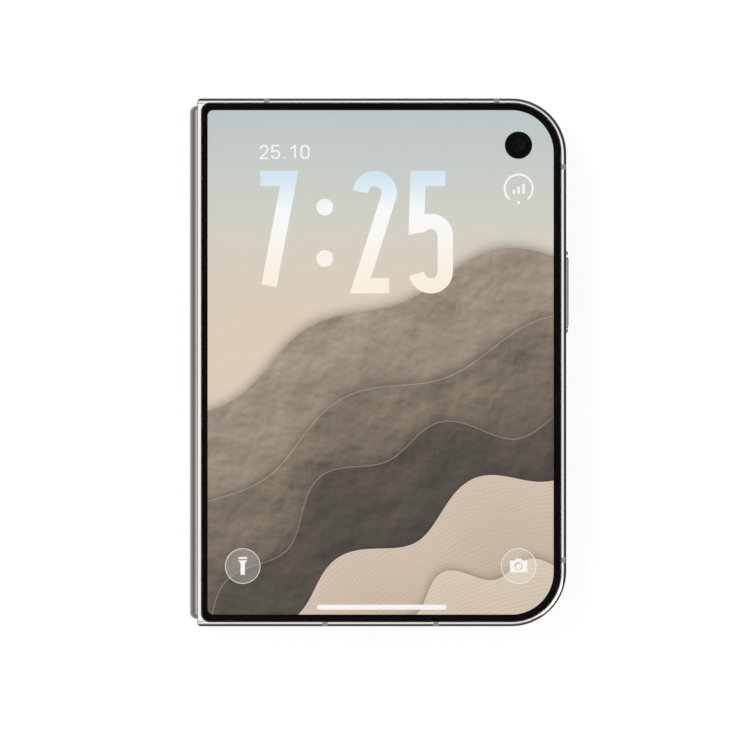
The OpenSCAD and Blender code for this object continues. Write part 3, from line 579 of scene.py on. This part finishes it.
# %% [markdown]
# ## Sheets with rounded corners
# The cover glass and its black border are flat forms on one kind of outline: tight corners at the
# hinge, wide ones at the free edge. A pane is a stack of that outline, each copy drawn in a little
# and set a little higher, with quads between. That gives ground glass its soft edge, which a bevel
# on a slab gives only after more steps.

# %% Outline and stacked loops
CORNER_STEPS = 16
SMALLEST_RADIUS = 0.05
SHARP_FROM = math.radians(40)


def leaf_outline(x_hinge, x_free, half_y, hinge_radius, free_radius, inset=0.0):
    """The outline of a leaf's pane, counter-clockwise, drawn in by inset, in drawing millimetres."""
    left, right, half = x_hinge + inset, x_free - inset, half_y - inset
    corners = [
        (right, half, free_radius, 0), (left, half, hinge_radius, 90),
        (left, -half, hinge_radius, 180), (right, -half, free_radius, 270),
    ]
    points = []
    for x, y, radius, start in corners:
        radius = max(radius - inset, SMALLEST_RADIUS)
        middle_x = x - math.copysign(radius, x - leaf_middle_x)
        middle_y = y - math.copysign(radius, y)
        for step in range(CORNER_STEPS + 1):
            turn = math.radians(start + 90 * step / CORNER_STEPS)
            points.append((middle_x + radius * math.cos(turn), middle_y + radius * math.sin(turn)))
    return points


def circle(x, y, radius, steps=64):
    """A circle's points, counter-clockwise."""
    turns = [2 * math.pi * step / steps for step in range(steps)]
    return [(x + radius * math.cos(t), y + radius * math.sin(t)) for t in turns]


def stack(name, loops, body, finish, closed=False, smooth=True):
    """A mesh from (outline, height) loops: quads between them, and flat ends unless it is closed."""
    count = len(loops[0][0])
    points = [at(x, y, height) for outline, height in loops for x, y in outline]
    faces = []
    pairs = len(loops) if closed else len(loops) - 1
    for level in range(pairs):
        low, high = level * count, (level + 1) % len(loops) * count
        for k in range(count):
            n = (k + 1) % count
            faces.append((low + k, low + n, high + n, high + k))
    sides = len(faces)
    if not closed:
        faces.append(tuple(reversed(range(count))))
        faces.append(tuple(range((len(loops) - 1) * count, len(loops) * count)))
    return piece(name, points, faces, body, finish, sides if smooth else 0)


def piece(name, points, faces, body, finish, smooth_faces=0):
    """A finished mesh object that rides on a body. Flat ends don't bend the light on smooth sides."""
    mesh = bpy.data.meshes.new(name)
    mesh.from_pydata(points, [], faces)
    mesh.set_sharp_from_angle(angle=SHARP_FROM)
    mesh.polygons.foreach_set("use_smooth", [k < smooth_faces for k in range(len(faces))])
    mesh.materials.append(finish.material)
    made = bpy.data.objects.new(name, mesh)
    bpy.context.scene.collection.objects.link(made)
    if body:
        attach(made, body)
    return made


print("points of a leaf's outline:", 4 * (CORNER_STEPS + 1))

# %% [markdown]
# ## Cover glass and its printed border
# The pane is clear and ends in a polished round edge that catches the light as a hairline. The black
# border is printed on its underside, so it lies just below the glass, and it runs from the pane's
# edge to the display's.

# %% Cover glass
GLASS_UNDERSIDE = 4.79
GLASS_CHAMFER = 0.03
# each loop of the polished edge: how far it is drawn in, and how far under the face it lies
GLASS_EDGE = [(0.0, 0.12), (0.02, 0.06), (0.06, 0.025), (0.12, 0.006), (0.20, 0.0)]


def pane_loop(inset, height):
    """One loop of the cover glass."""
    sizes = (glass_low.x, glass_high.x, glass_high.y, GLASS_HINGE_RADIUS, GLASS_FREE_RADIUS)
    return leaf_outline(*sizes, inset), height


glass = Finish("clear_cover_glass", Roughness=0.0, IOR=1.5, Transmission_Weight=1.0,
               Specular_IOR_Level=0.3)
glass.feed(Base_Color=glass.mix(glass.noise(0.02), (0.985, 0.99, 0.99, 1), (0.995, 1.0, 1.0, 1)))
pane_foot = [pane_loop(GLASS_CHAMFER, GLASS_UNDERSIDE), pane_loop(0.0, GLASS_UNDERSIDE + GLASS_CHAMFER)]
pane_edge = [pane_loop(inset, glass_high.z - drop) for inset, drop in GLASS_EDGE]
cover_pane = stack("cover_glass_pane", pane_foot + pane_edge, "front_leaf", glass)
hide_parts("cover_glass")
print("cover pane faces:", len(cover_pane.data.polygons))

# %% Printed border
PRINT_LOW = 4.755
PRINT_HIGH = 4.78
WINDOW_LEFT = 1.18
WINDOW_RIGHT = 80.3
WINDOW_HALF = 57.58
WINDOW_HINGE_RADIUS = 1.3
WINDOW_FREE_RADIUS = 9.6
PRINT_INSET = 0.02
ink = surface("black_print", (0.0022, 0.0022, 0.0024, 1), 0.8, 0.0, 0.1, 0.0006, Specular_IOR_Level=0.0)
window = leaf_outline(WINDOW_LEFT, WINDOW_RIGHT, WINDOW_HALF, WINDOW_HINGE_RADIUS, WINDOW_FREE_RADIUS)
border_loops = [
    pane_loop(PRINT_INSET, PRINT_LOW), (window, PRINT_LOW),
    (window, PRINT_HIGH), pane_loop(PRINT_INSET, PRINT_HIGH),
]
border = stack("cover_glass_border", border_loops, "front_leaf", ink, closed=True, smooth=False)
print("border faces:", len(border.data.polygons))

# %% [markdown]
# ## The camera hole
# The camera looks out through a black disc in the display. In the disc's hole sits the lens, a low
# dark bead; the faint violet that its coating throws back is a reflection painted into its colour,
# growing from the lens's left side to its right.

# %% Cover camera
CAMERA_X = 72.17
CAMERA_Y = 49.6
LENS_RADIUS = 1.6
# each ring: its radius, and its height over the print's underside
MASK_RINGS = [(3.13, 0.0), (3.13, 0.025), (1.75, 0.025), (LENS_RADIUS, 0.01)]
BEAD_RINGS = [(1.55, 0.0), (1.5, 0.01), (1.0, 0.02), (0.5, 0.025), (0.1, 0.027)]


def camera_disc(name, rings, finish, smooth):
    """A turned form on the camera's axis."""
    loops = [(circle(CAMERA_X, CAMERA_Y, radius), PRINT_LOW + rise) for radius, rise in rings]
    return stack(name, loops, "front_leaf", finish, smooth=smooth)


mask = camera_disc("camera_mask", MASK_RINGS, ink, False)
coated = Finish("coated_lens", Roughness=0.04, IOR=1.6, Specular_IOR_Level=0.04)
from_lens = coated.place() - at(CAMERA_X, CAMERA_Y, 0)
sideways = coated.node("SeparateXYZ", sockets={0: from_lens}, out="X")
# painted reflection: the faint violet that the coating throws back, growing across the lens from left to right
violet_reflection = (sideways / (LENS_RADIUS * MM) * 0.5 + 0.5).clamped()
coated.feed(Base_Color=coated.mix(violet_reflection, (0.001, 0.001, 0.003, 1), (0.010, 0.008, 0.020, 1)))
bead = camera_disc("camera_bead", BEAD_RINGS, coated, True)
print("lens bead, mm across:", 2 * BEAD_RINGS[0][0])

# %% [markdown]
# ## The picture on the display
# The display shows layers of cut paper: wavy arcs round one centre beyond the lower right corner,
# each lying on the next and dropping a soft shadow on it. They are worked out from the distance and
# the angle at each point, so the picture has no pixels and stays sharp. Sky colours fill what the
# arcs leave free. The dark sheets are creased, the sandy ones are combed into fine ripples, and a
# fine grain keeps them all from looking like plastic.

# %% Paper arcs
ARC_ACROSS = 48
ARC_BELOW = 118
SKY_FOOT = 5.0
SKY = [(0.0, linear(225, 206, 184)), (0.2, linear(221, 207, 188)), (0.46, linear(214, 210, 196)),
       (0.72, linear(203, 207, 201)), (1.0, linear(190, 199, 202))]
# each arc: radius and wave height in mm, waves per turn, wave shift, creases, outer and inner colour
ARCS = [
    (141, 2.6, 19, 0.4, 0.8, linear(158, 144, 127), linear(138, 125, 108)),
    (123, 3.4, 15, 2.2, 1.1, linear(122, 109, 93), linear(102, 90, 76)),
    (107, 2.8, 22, 4.1, 1.3, linear(76, 68, 58), linear(62, 55, 47)),
    (92, 3.0, 17, 1.3, 0.0, linear(212, 193, 173), linear(198, 178, 157)),
    (74, 2.2, 24, 3.3, 0.0, linear(218, 201, 181), linear(206, 188, 167)),
]
SHADOW_COLOUR = linear(52, 47, 42)
SHADOW_REACH = 3.2
EDGE_SOFTNESS = 0.09
LIP_COLOUR = linear(232, 224, 210)
LIP_WIDTH = 0.32
TONE_REACH = 22.0
CREASE_SIZE = 0.013
TOWARD_LIGHT = Vector((-0.0004, 0.0007, 0))


def paper_picture(finish):
    """The layered paper picture as one colour wire."""
    where = (finish.place() - at(leaf_middle_x + ARC_ACROSS, -ARC_BELOW, 0)) / MM
    across = finish.node("SeparateXYZ", sockets={0: where}, out="X")
    along = finish.node("SeparateXYZ", sockets={0: where}, out="Y")
    reach = (across * across + along * along) ** 0.5
    turn = along.sum_with("ARCTAN2", along, across)
    height = ((along - ARC_BELOW - SKY_FOOT) / (display_high.y - SKY_FOOT)).clamped()
    colour = finish.node("ValToRGB", {"stops": SKY}, {0: height})
    fibre = finish.noise(0.0005, 3)
    # a crease is lit by how much higher a point is than its neighbour toward the light
    beside = finish.noise(CREASE_SIZE, 9, finish.place() + TOWARD_LIGHT)
    folds = (finish.noise(CREASE_SIZE, 9) - beside) * 3
    ridges = (reach * 7.0 + finish.noise(0.012, 3) * 26.0).sine() * 0.5 + 0.5
    for radius, wave, count, shift, creases, outer, inner in ARCS:
        wobble = (turn * count + shift).sine() * wave
        slow = (turn * (count * 0.41) + shift * 2).sine() * (wave * 0.8)
        beyond = reach - (wobble + slow + radius)
        shade = (1 - beyond / SHADOW_REACH).clamped() ** 2 * 0.42
        colour = finish.mix(shade, colour, SHADOW_COLOUR)
        tone = finish.mix((beyond / -TONE_REACH).clamped(), outer, inner)
        if creases:
            tone = tone * (folds * (2 * creases) + 1)
        else:
            tone = tone * (ridges * 0.09 + 0.95)
        lip = (beyond / LIP_WIDTH + 1).clamped() * 0.35
        tone = finish.mix(lip, tone, LIP_COLOUR)
        inside = (0.5 - beyond / EDGE_SOFTNESS).clamped()
        colour = finish.mix(inside, colour, tone)
    return colour * (fibre * 0.08 + 0.96)


def screen_light(name, rough):
    """A dark finish that shines by itself, as a display does."""
    return Finish(name, Roughness=rough, Base_Color=(0.01, 0.01, 0.01, 1), Emission_Strength=1.0)


lit = screen_light("lit_display", 0.4)
lit.feed(Emission_Color=paper_picture(lit))
paint(["cover_display"], lit)
print("arcs:", len(ARCS))

# %% [markdown]
# ## Light drawn on the display
# Clock digits, icons and the bar at the bottom are part of the picture, but their edges must be
# crisp, so they are cut as thin sheets of light that lie between the display and the glass. A digit
# is a path with a width, as a pen would draw it: straight runs and arcs, widened to both sides.

# %% Pen strokes
INK_HEIGHT = 4.765


def arc(x, y, radius_x, radius_y, start, end, steps=14):
    """Points along an ellipse from one angle to another, in degrees."""
    turns = [math.radians(start + (end - start) * k / steps) for k in range(steps + 1)]
    return [(x + radius_x * math.cos(t), y + radius_y * math.sin(t)) for t in turns]


def widened(path, width, closed=False):
    """The left and right edge of a path of a given width, with mitred corners."""
    left, right = [], []
    count = len(path)
    for k, point in enumerate(path):
        before = path[k - 1] if k or closed else point
        after = path[(k + 1) % count] if k < count - 1 or closed else point
        into = Vector((point[0] - before[0], point[1] - before[1]))
        out = Vector((after[0] - point[0], after[1] - point[1]))
        into = (into if into.length > 0 else out).normalized()
        out = (out if out.length > 0 else into).normalized()
        normal = Vector((-into.y - out.y, into.x + out.x)).normalized()
        reach = width / 2 / max(normal.dot(Vector((-into.y, into.x))), 0.5)
        left.append((point[0] + normal.x * reach, point[1] + normal.y * reach))
        right.append((point[0] - normal.x * reach, point[1] - normal.y * reach))
    return left, right


class Drawing:
    """Flat shapes at one height, gathered into one mesh."""

    def __init__(self, height=INK_HEIGHT):
        self.points = []
        self.faces = []
        self.height = height

    def add(self, outline):
        """Adds a filled outline, given counter-clockwise."""
        first = len(self.points)
        self.points += [at(x, y, self.height) for x, y in outline]
        self.faces.append(tuple(range(first, len(self.points))))

    def stroke(self, path, width, closed=False):
        """Adds a pen stroke along a path."""
        left, right = widened(path, width, closed)
        first = len(self.points)
        for a, b in zip(left, right):
            self.points += [at(*a, self.height), at(*b, self.height)]
        count = len(path)
        for k in range(count if closed else count - 1):
            a, b = first + 2 * k, first + 2 * ((k + 1) % count)
            self.faces.append((a, a + 1, b + 1, b))

    def made(self, name, finish):
        """Turns the drawing into a piece on the front leaf."""
        drawn = piece(name, self.points, self.faces, "front_leaf", finish)


print("drawn sheets over the display, mm:", round(INK_HEIGHT - display_high.z, 3))


# %% Digits as pen paths
def digit_paths(digit, width, height):
    """The pen paths of one digit in a cell of width by height, from its lower left corner."""
    r = width / 2
    low, high = r, height - r
    paths = {
        "0": [arc(r, high, r, r, 0, 180) + arc(r, low, r, r, 180, 360)],
        "1": [[(0.1 * width, height - 0.42 * width), (0.72 * width, height), (0.72 * width, 0)]],
        "2": [arc(r, high, r, r, 175, -25) + [(0, 0), (width, 0)]],
        "5": [[(width, height), (0.06 * width, height), (0, 0.56 * height)]
              + arc(r, 0.60 * height - r, r, r, 130, 0) + arc(r, low, r, r, 0, -170)],
        "7": [[(0, height), (width, height), (0.30 * width, 0)]],
    }
    return paths[digit], digit == "0"


def write(drawing, text, x, y, width, height, gap, pen):
    """Draws digits and dots from left to right."""
    for mark in text:
        if mark in ":.":
            dots = [0.24, 0.72] if mark == ":" else [0.0]
            for share in dots:
                drawing.add(circle(x + pen * 0.55, y + share * height + pen * 0.1, pen * 0.55, 28))
            x += pen * 1.1 + gap
            continue
        paths, closed = digit_paths(mark, width, height)
        for path in paths:
            drawing.stroke([(x + px, y + py) for px, py in path], pen, closed)
        x += width + gap


print("pen paths of a 5:", len(digit_paths("5", 1, 2)[0]))

# %% [markdown]
# The clock is white with a breath of sky at its top and of sand at its foot. Its digits are tall and
# narrow, as wide as the photograph's, and stand to the left; a date of plain numbers is over them.

# %% Clock and date
CLOCK_PEN = 3.5
CLOCK_CELL = (6.6, 24.5)
CLOCK_GAP = 6.2
CLOCK_LEFT = 13.2
CLOCK_FOOT = 17.5
CLOCK_TONES = [(0.0, linear(255, 243, 224)), (0.45, linear(255, 252, 246)),
               (0.7, linear(252, 254, 255)), (1.0, linear(214, 234, 246))]
DATE_PEN = 0.42
DATE_CELL = (1.7, 2.9)
DATE_GAP = 0.95
DATE_FOOT = CLOCK_FOOT + CLOCK_CELL[1] + 4.6

glow = screen_light("screen_white", 0.5)
from_foot = (glow.place() - at(0, CLOCK_FOOT, 0)) / MM
rise = glow.node("SeparateXYZ", sockets={0: from_foot}, out="Y")
tone_place = (rise / CLOCK_CELL[1]).clamped()
glow.feed(Emission_Color=glow.node("ValToRGB", {"stops": CLOCK_TONES}, {0: tone_place}))

white = screen_light("screen_light", 0.5)
white.feed(Emission_Color=white.mix(white.noise(0.004), linear(246, 244, 240), linear(255, 254, 251)))

clock = Drawing()
write(clock, "7:25", CLOCK_LEFT, CLOCK_FOOT, *CLOCK_CELL, CLOCK_GAP, CLOCK_PEN)
clock.made("clock_digits", glow)
date_line = Drawing()
write(date_line, "25.10", CLOCK_LEFT, DATE_FOOT, *DATE_CELL, DATE_GAP, DATE_PEN)
date_line.made("date_numbers", white)
print("clock strokes:", len(clock.faces))

# %% [markdown]
# Under the camera hole a ring shows the state of the battery, and two round buttons sit in the lower
# corners. The buttons are clear discs that lighten the picture under them and have a thin pale rim.

# %% Status ring and home bar
RING_X = 72.2
RING_Y = 39.7
RING_RADIUS = 3.2
LEVEL_STEP = 1.1
ring_drawing = Drawing()
ring_drawing.stroke(arc(RING_X, RING_Y, RING_RADIUS, RING_RADIUS, -50, 230, 56), 0.5)
for count in range(3):
    level_x = RING_X - LEVEL_STEP + LEVEL_STEP * count
    ring_drawing.stroke([(level_x, RING_Y - 1.2), (level_x, RING_Y - 0.3 + 0.7 * count)], 0.62)
ring_drawing.add(circle(RING_X, RING_Y - RING_RADIUS, 0.36, 20))
ring_drawing.made("status_ring", white)

BAR_LENGTH = 28.5
BAR_HALF = 0.57
BAR_Y = -55.9
bar = Drawing()
bar_left, bar_right = leaf_middle_x - BAR_LENGTH / 2, leaf_middle_x + BAR_LENGTH / 2
right_end = arc(bar_right, BAR_Y, BAR_HALF, BAR_HALF, -90, 90)
left_end = arc(bar_left, BAR_Y, BAR_HALF, BAR_HALF, 90, 270)
bar.add(right_end + left_end)
bar.made("home_bar", white)
print("home bar, mm:", BAR_LENGTH, "x", 2 * BAR_HALF)

# %% Round buttons
BUTTON_RADIUS = 4.05
BUTTONS = {"torch": (9.2, -46.5), "camera": (72.2, -46.5)}
# each icon: filled outlines, in mm from the button's middle
ICONS = {
    "torch": [
        [(-0.5, -2.0), (0.5, -2.0), (0.5, 0.5), (1.0, 1.3), (-1.0, 1.3), (-0.5, 0.5)],
        [(-1.0, 1.6), (1.0, 1.6), (1.0, 2.05), (-1.0, 2.05)],
    ],
    "camera": [
        [(-2.0, -1.45), (2.0, -1.45), (2.0, 1.25), (0.95, 1.25),
         (0.6, 1.7), (-0.6, 1.7), (-0.95, 1.25), (-2.0, 1.25)],
    ],
}
veil = screen_light("button_veil", 0.5)
veil.feed(Emission_Color=veil.mix(0.16, paper_picture(veil), linear(255, 252, 244)))
for name, (x, y) in BUTTONS.items():
    plate = Drawing(PRINT_LOW + 0.003)
    plate.add(circle(x, y, BUTTON_RADIUS, 72))
    plate.made(name + "_button", veil)
    icon = Drawing()
    icon.stroke(circle(x, y, BUTTON_RADIUS - 0.08, 72), 0.13, closed=True)
    for outline in ICONS[name]:
        icon.add([(x + dx, y + dy) for dx, dy in outline])
    if name == "camera":
        lens_ring = Drawing(INK_HEIGHT + 0.002)
        lens_ring.stroke(circle(x, y - 0.1, 0.8, 32), 0.3, closed=True)
        lens_ring.made("camera_icon_lens", veil)
    icon.made(name + "_icon", white)
print("buttons:", list(BUTTONS))

# %% [markdown]
# ## The flexible display round the fold
# Shut, the inner display hangs in the hinge as a drop; open, it lies flat. Each half of it is worked
# out round one hinge axis: a strip is flat when open, and every point turns round the axis by a share
# of the full 90 degrees that grows from the leaf to the spine. Only the closed shape is built: it is
# found backwards, point by point, by halving the range in which that share must lie.

# %% Fold shape
FOLD_START = (8.5, 1.0)
FOLD_END = (2.2, -2.0)
FOLD_LEAF_X = 9.0
FOLD_STEPS = 60
HALVINGS = 40


def turn_share(x, height):
    """The share of the turn for a point of the front half: 0 before the fold's start, 1 past its end, easing in
    between.
    """
    dx, dz = FOLD_END[0] - FOLD_START[0], FOLD_END[1] - FOLD_START[1]
    t = ((x - FOLD_START[0]) * dx + (height - FOLD_START[1]) * dz) / (dx * dx + dz * dz)
    t = min(max(t, 0.0), 1.0)
    return t * t * (3 - 2 * t)


def folded(along, depth, share):
    """Where a point of the open strip lies when its share of the turn is taken back."""
    turn = math.radians(90 * share)
    x = along * math.cos(turn) + depth * math.sin(turn)
    return x, axis_height + along * math.sin(turn) - depth * math.cos(turn)


def folded_point(along, depth):
    """The closed place of an open strip's point: the share that agrees with the one turn_share gives at that
    place.
    """
    low, high = 0.0, 1.0
    for _ in range(HALVINGS):
        middle = (low + high) / 2
        if turn_share(*folded(along, depth, middle)) > middle:
            low = middle
        else:
            high = middle
    return folded(along, depth, (low + high) / 2)


print("share of the turn where the fold starts and ends:", turn_share(*FOLD_START), turn_share(*FOLD_END))


# %% One half of a layer
def fold_strip(name, side, depths, y_low, y_high, finish, node):
    """One half of a flexible layer: side is 1 for the front leaf and -1 for the rear one."""
    outer, inner = depths
    stations = [FOLD_LEAF_X - (FOLD_LEAF_X + axis_height) * k / FOLD_STEPS for k in range(FOLD_STEPS + 1)]
    points, faces = [], []
    for along in stations:
        for depth in (outer, inner):
            x, height = folded_point(along, depth)
            points += [at(x, y_low, side * height), at(x, y_high, side * height)]
    for k in range(FOLD_STEPS):
        a, b = 4 * k, 4 * (k + 1)
        faces += [(a, b, b + 1, a + 1), (a + 2, a + 3, b + 3, b + 2)]
    smooth = len(faces)
    for k in range(FOLD_STEPS):
        a, b = 4 * k, 4 * (k + 1)
        faces += [(a, a + 2, b + 2, b), (a + 1, b + 1, b + 3, a + 3)]
    if side < 0:
        faces = [tuple(reversed(face)) for face in faces]
    strip = piece(name, points, faces, None, finish, smooth)
    leaf = "front_leaf" if side > 0 else "rear_leaf"
    start = at(FOLD_START[0], 0, side * FOLD_START[1])
    end = at(FOLD_END[0], 0, side * FOLD_END[1])
    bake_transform(strip)
    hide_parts(node)


print("flat length of both halves, mm:", round(2 * (FOLD_LEAF_X + axis_height), 2))

# %% [markdown]
# Three layers run through the fold: the dark display, the thin steel sheet that backs it, and the
# amber cable that joins the two leaves. Each is made twice, once for each leaf.

# %% Display, mesh and cable in the fold
screen = surface("dark_flexible_screen", (0.006, 0.006, 0.008, 1), 0.16, 0.0, 0.15, 0.004,
                 Coat_Weight=0.5, Coat_Roughness=0.05)
sheet_steel = surface("fold_sheet_steel", (0.42, 0.42, 0.44, 1), 0.30, 1.0, 0.05, 0.0003, 0.000001, ALONG_Y)
amber_film = surface("amber_film", (0.55, 0.24, 0.04, 1), 0.22, 0.0, 0.1, 0.0004)
paint(nodes_with("inner_display"), screen)
# each layer: its name, the depths of its two faces, its ends in y, finish, slot and replaced node
LAYERS = [
    ("fold_screen", (1.20, 0.85), 57.15, -57.15, screen, "inner_display", "fold_display"),
    ("fold_sheet", (0.85, 0.72), 56.85, -56.85, sheet_steel, "support_steel", "fold_support_mesh"),
    ("fold_cable", (0.68, 0.61), 32.1, 25.5, amber_film, "flex_film", "hinge_flex_cable"),
]
for side, half in ((1, "front"), (-1, "rear")):
    for name, depths, y_high, y_low, finish, slot_name, node in LAYERS:
        fold_strip(half + "_" + name, side, depths, y_low, y_high, finish, node)
print("fold layers:", 2 * len(LAYERS))

# %% [markdown]
# ## Back glass and cameras
# The back is glass etched to a soft frost over a warm white coat. The lens covers are near black
# under a clear polished coat, and the flash is a milky lens that light seeps into.

# %% Back finishes
frost = surface("frosted_back", (0.70, 0.67, 0.62, 1), 0.42, 0.0, 0.02, 0.00015, 0.0000012,
                Coat_Weight=0.25, Coat_Roughness=0.25)
paint(nodes_with("back_glass"), frost)
lens = surface("lens_cover", (0.004, 0.004, 0.007, 1), 0.05, 0.0, 0.3, 0.003,
               Coat_Weight=1.0, Coat_Roughness=0.02)
paint(nodes_with("lens_glass"), lens)
milk = surface("flash_lens", (0.86, 0.83, 0.70, 1), 0.3, 0.0, 0.06, 0.0005, 0.000004,
               Subsurface_Weight=0.2, Subsurface_Scale=0.001)
paint(nodes_with("flash_lens"), milk)
unpainted = [name for name, thing in node_objects.items()
             if not all(s.material and s.material.use_nodes for s in thing.material_slots)]
print("parts without a finish:", unpainted)
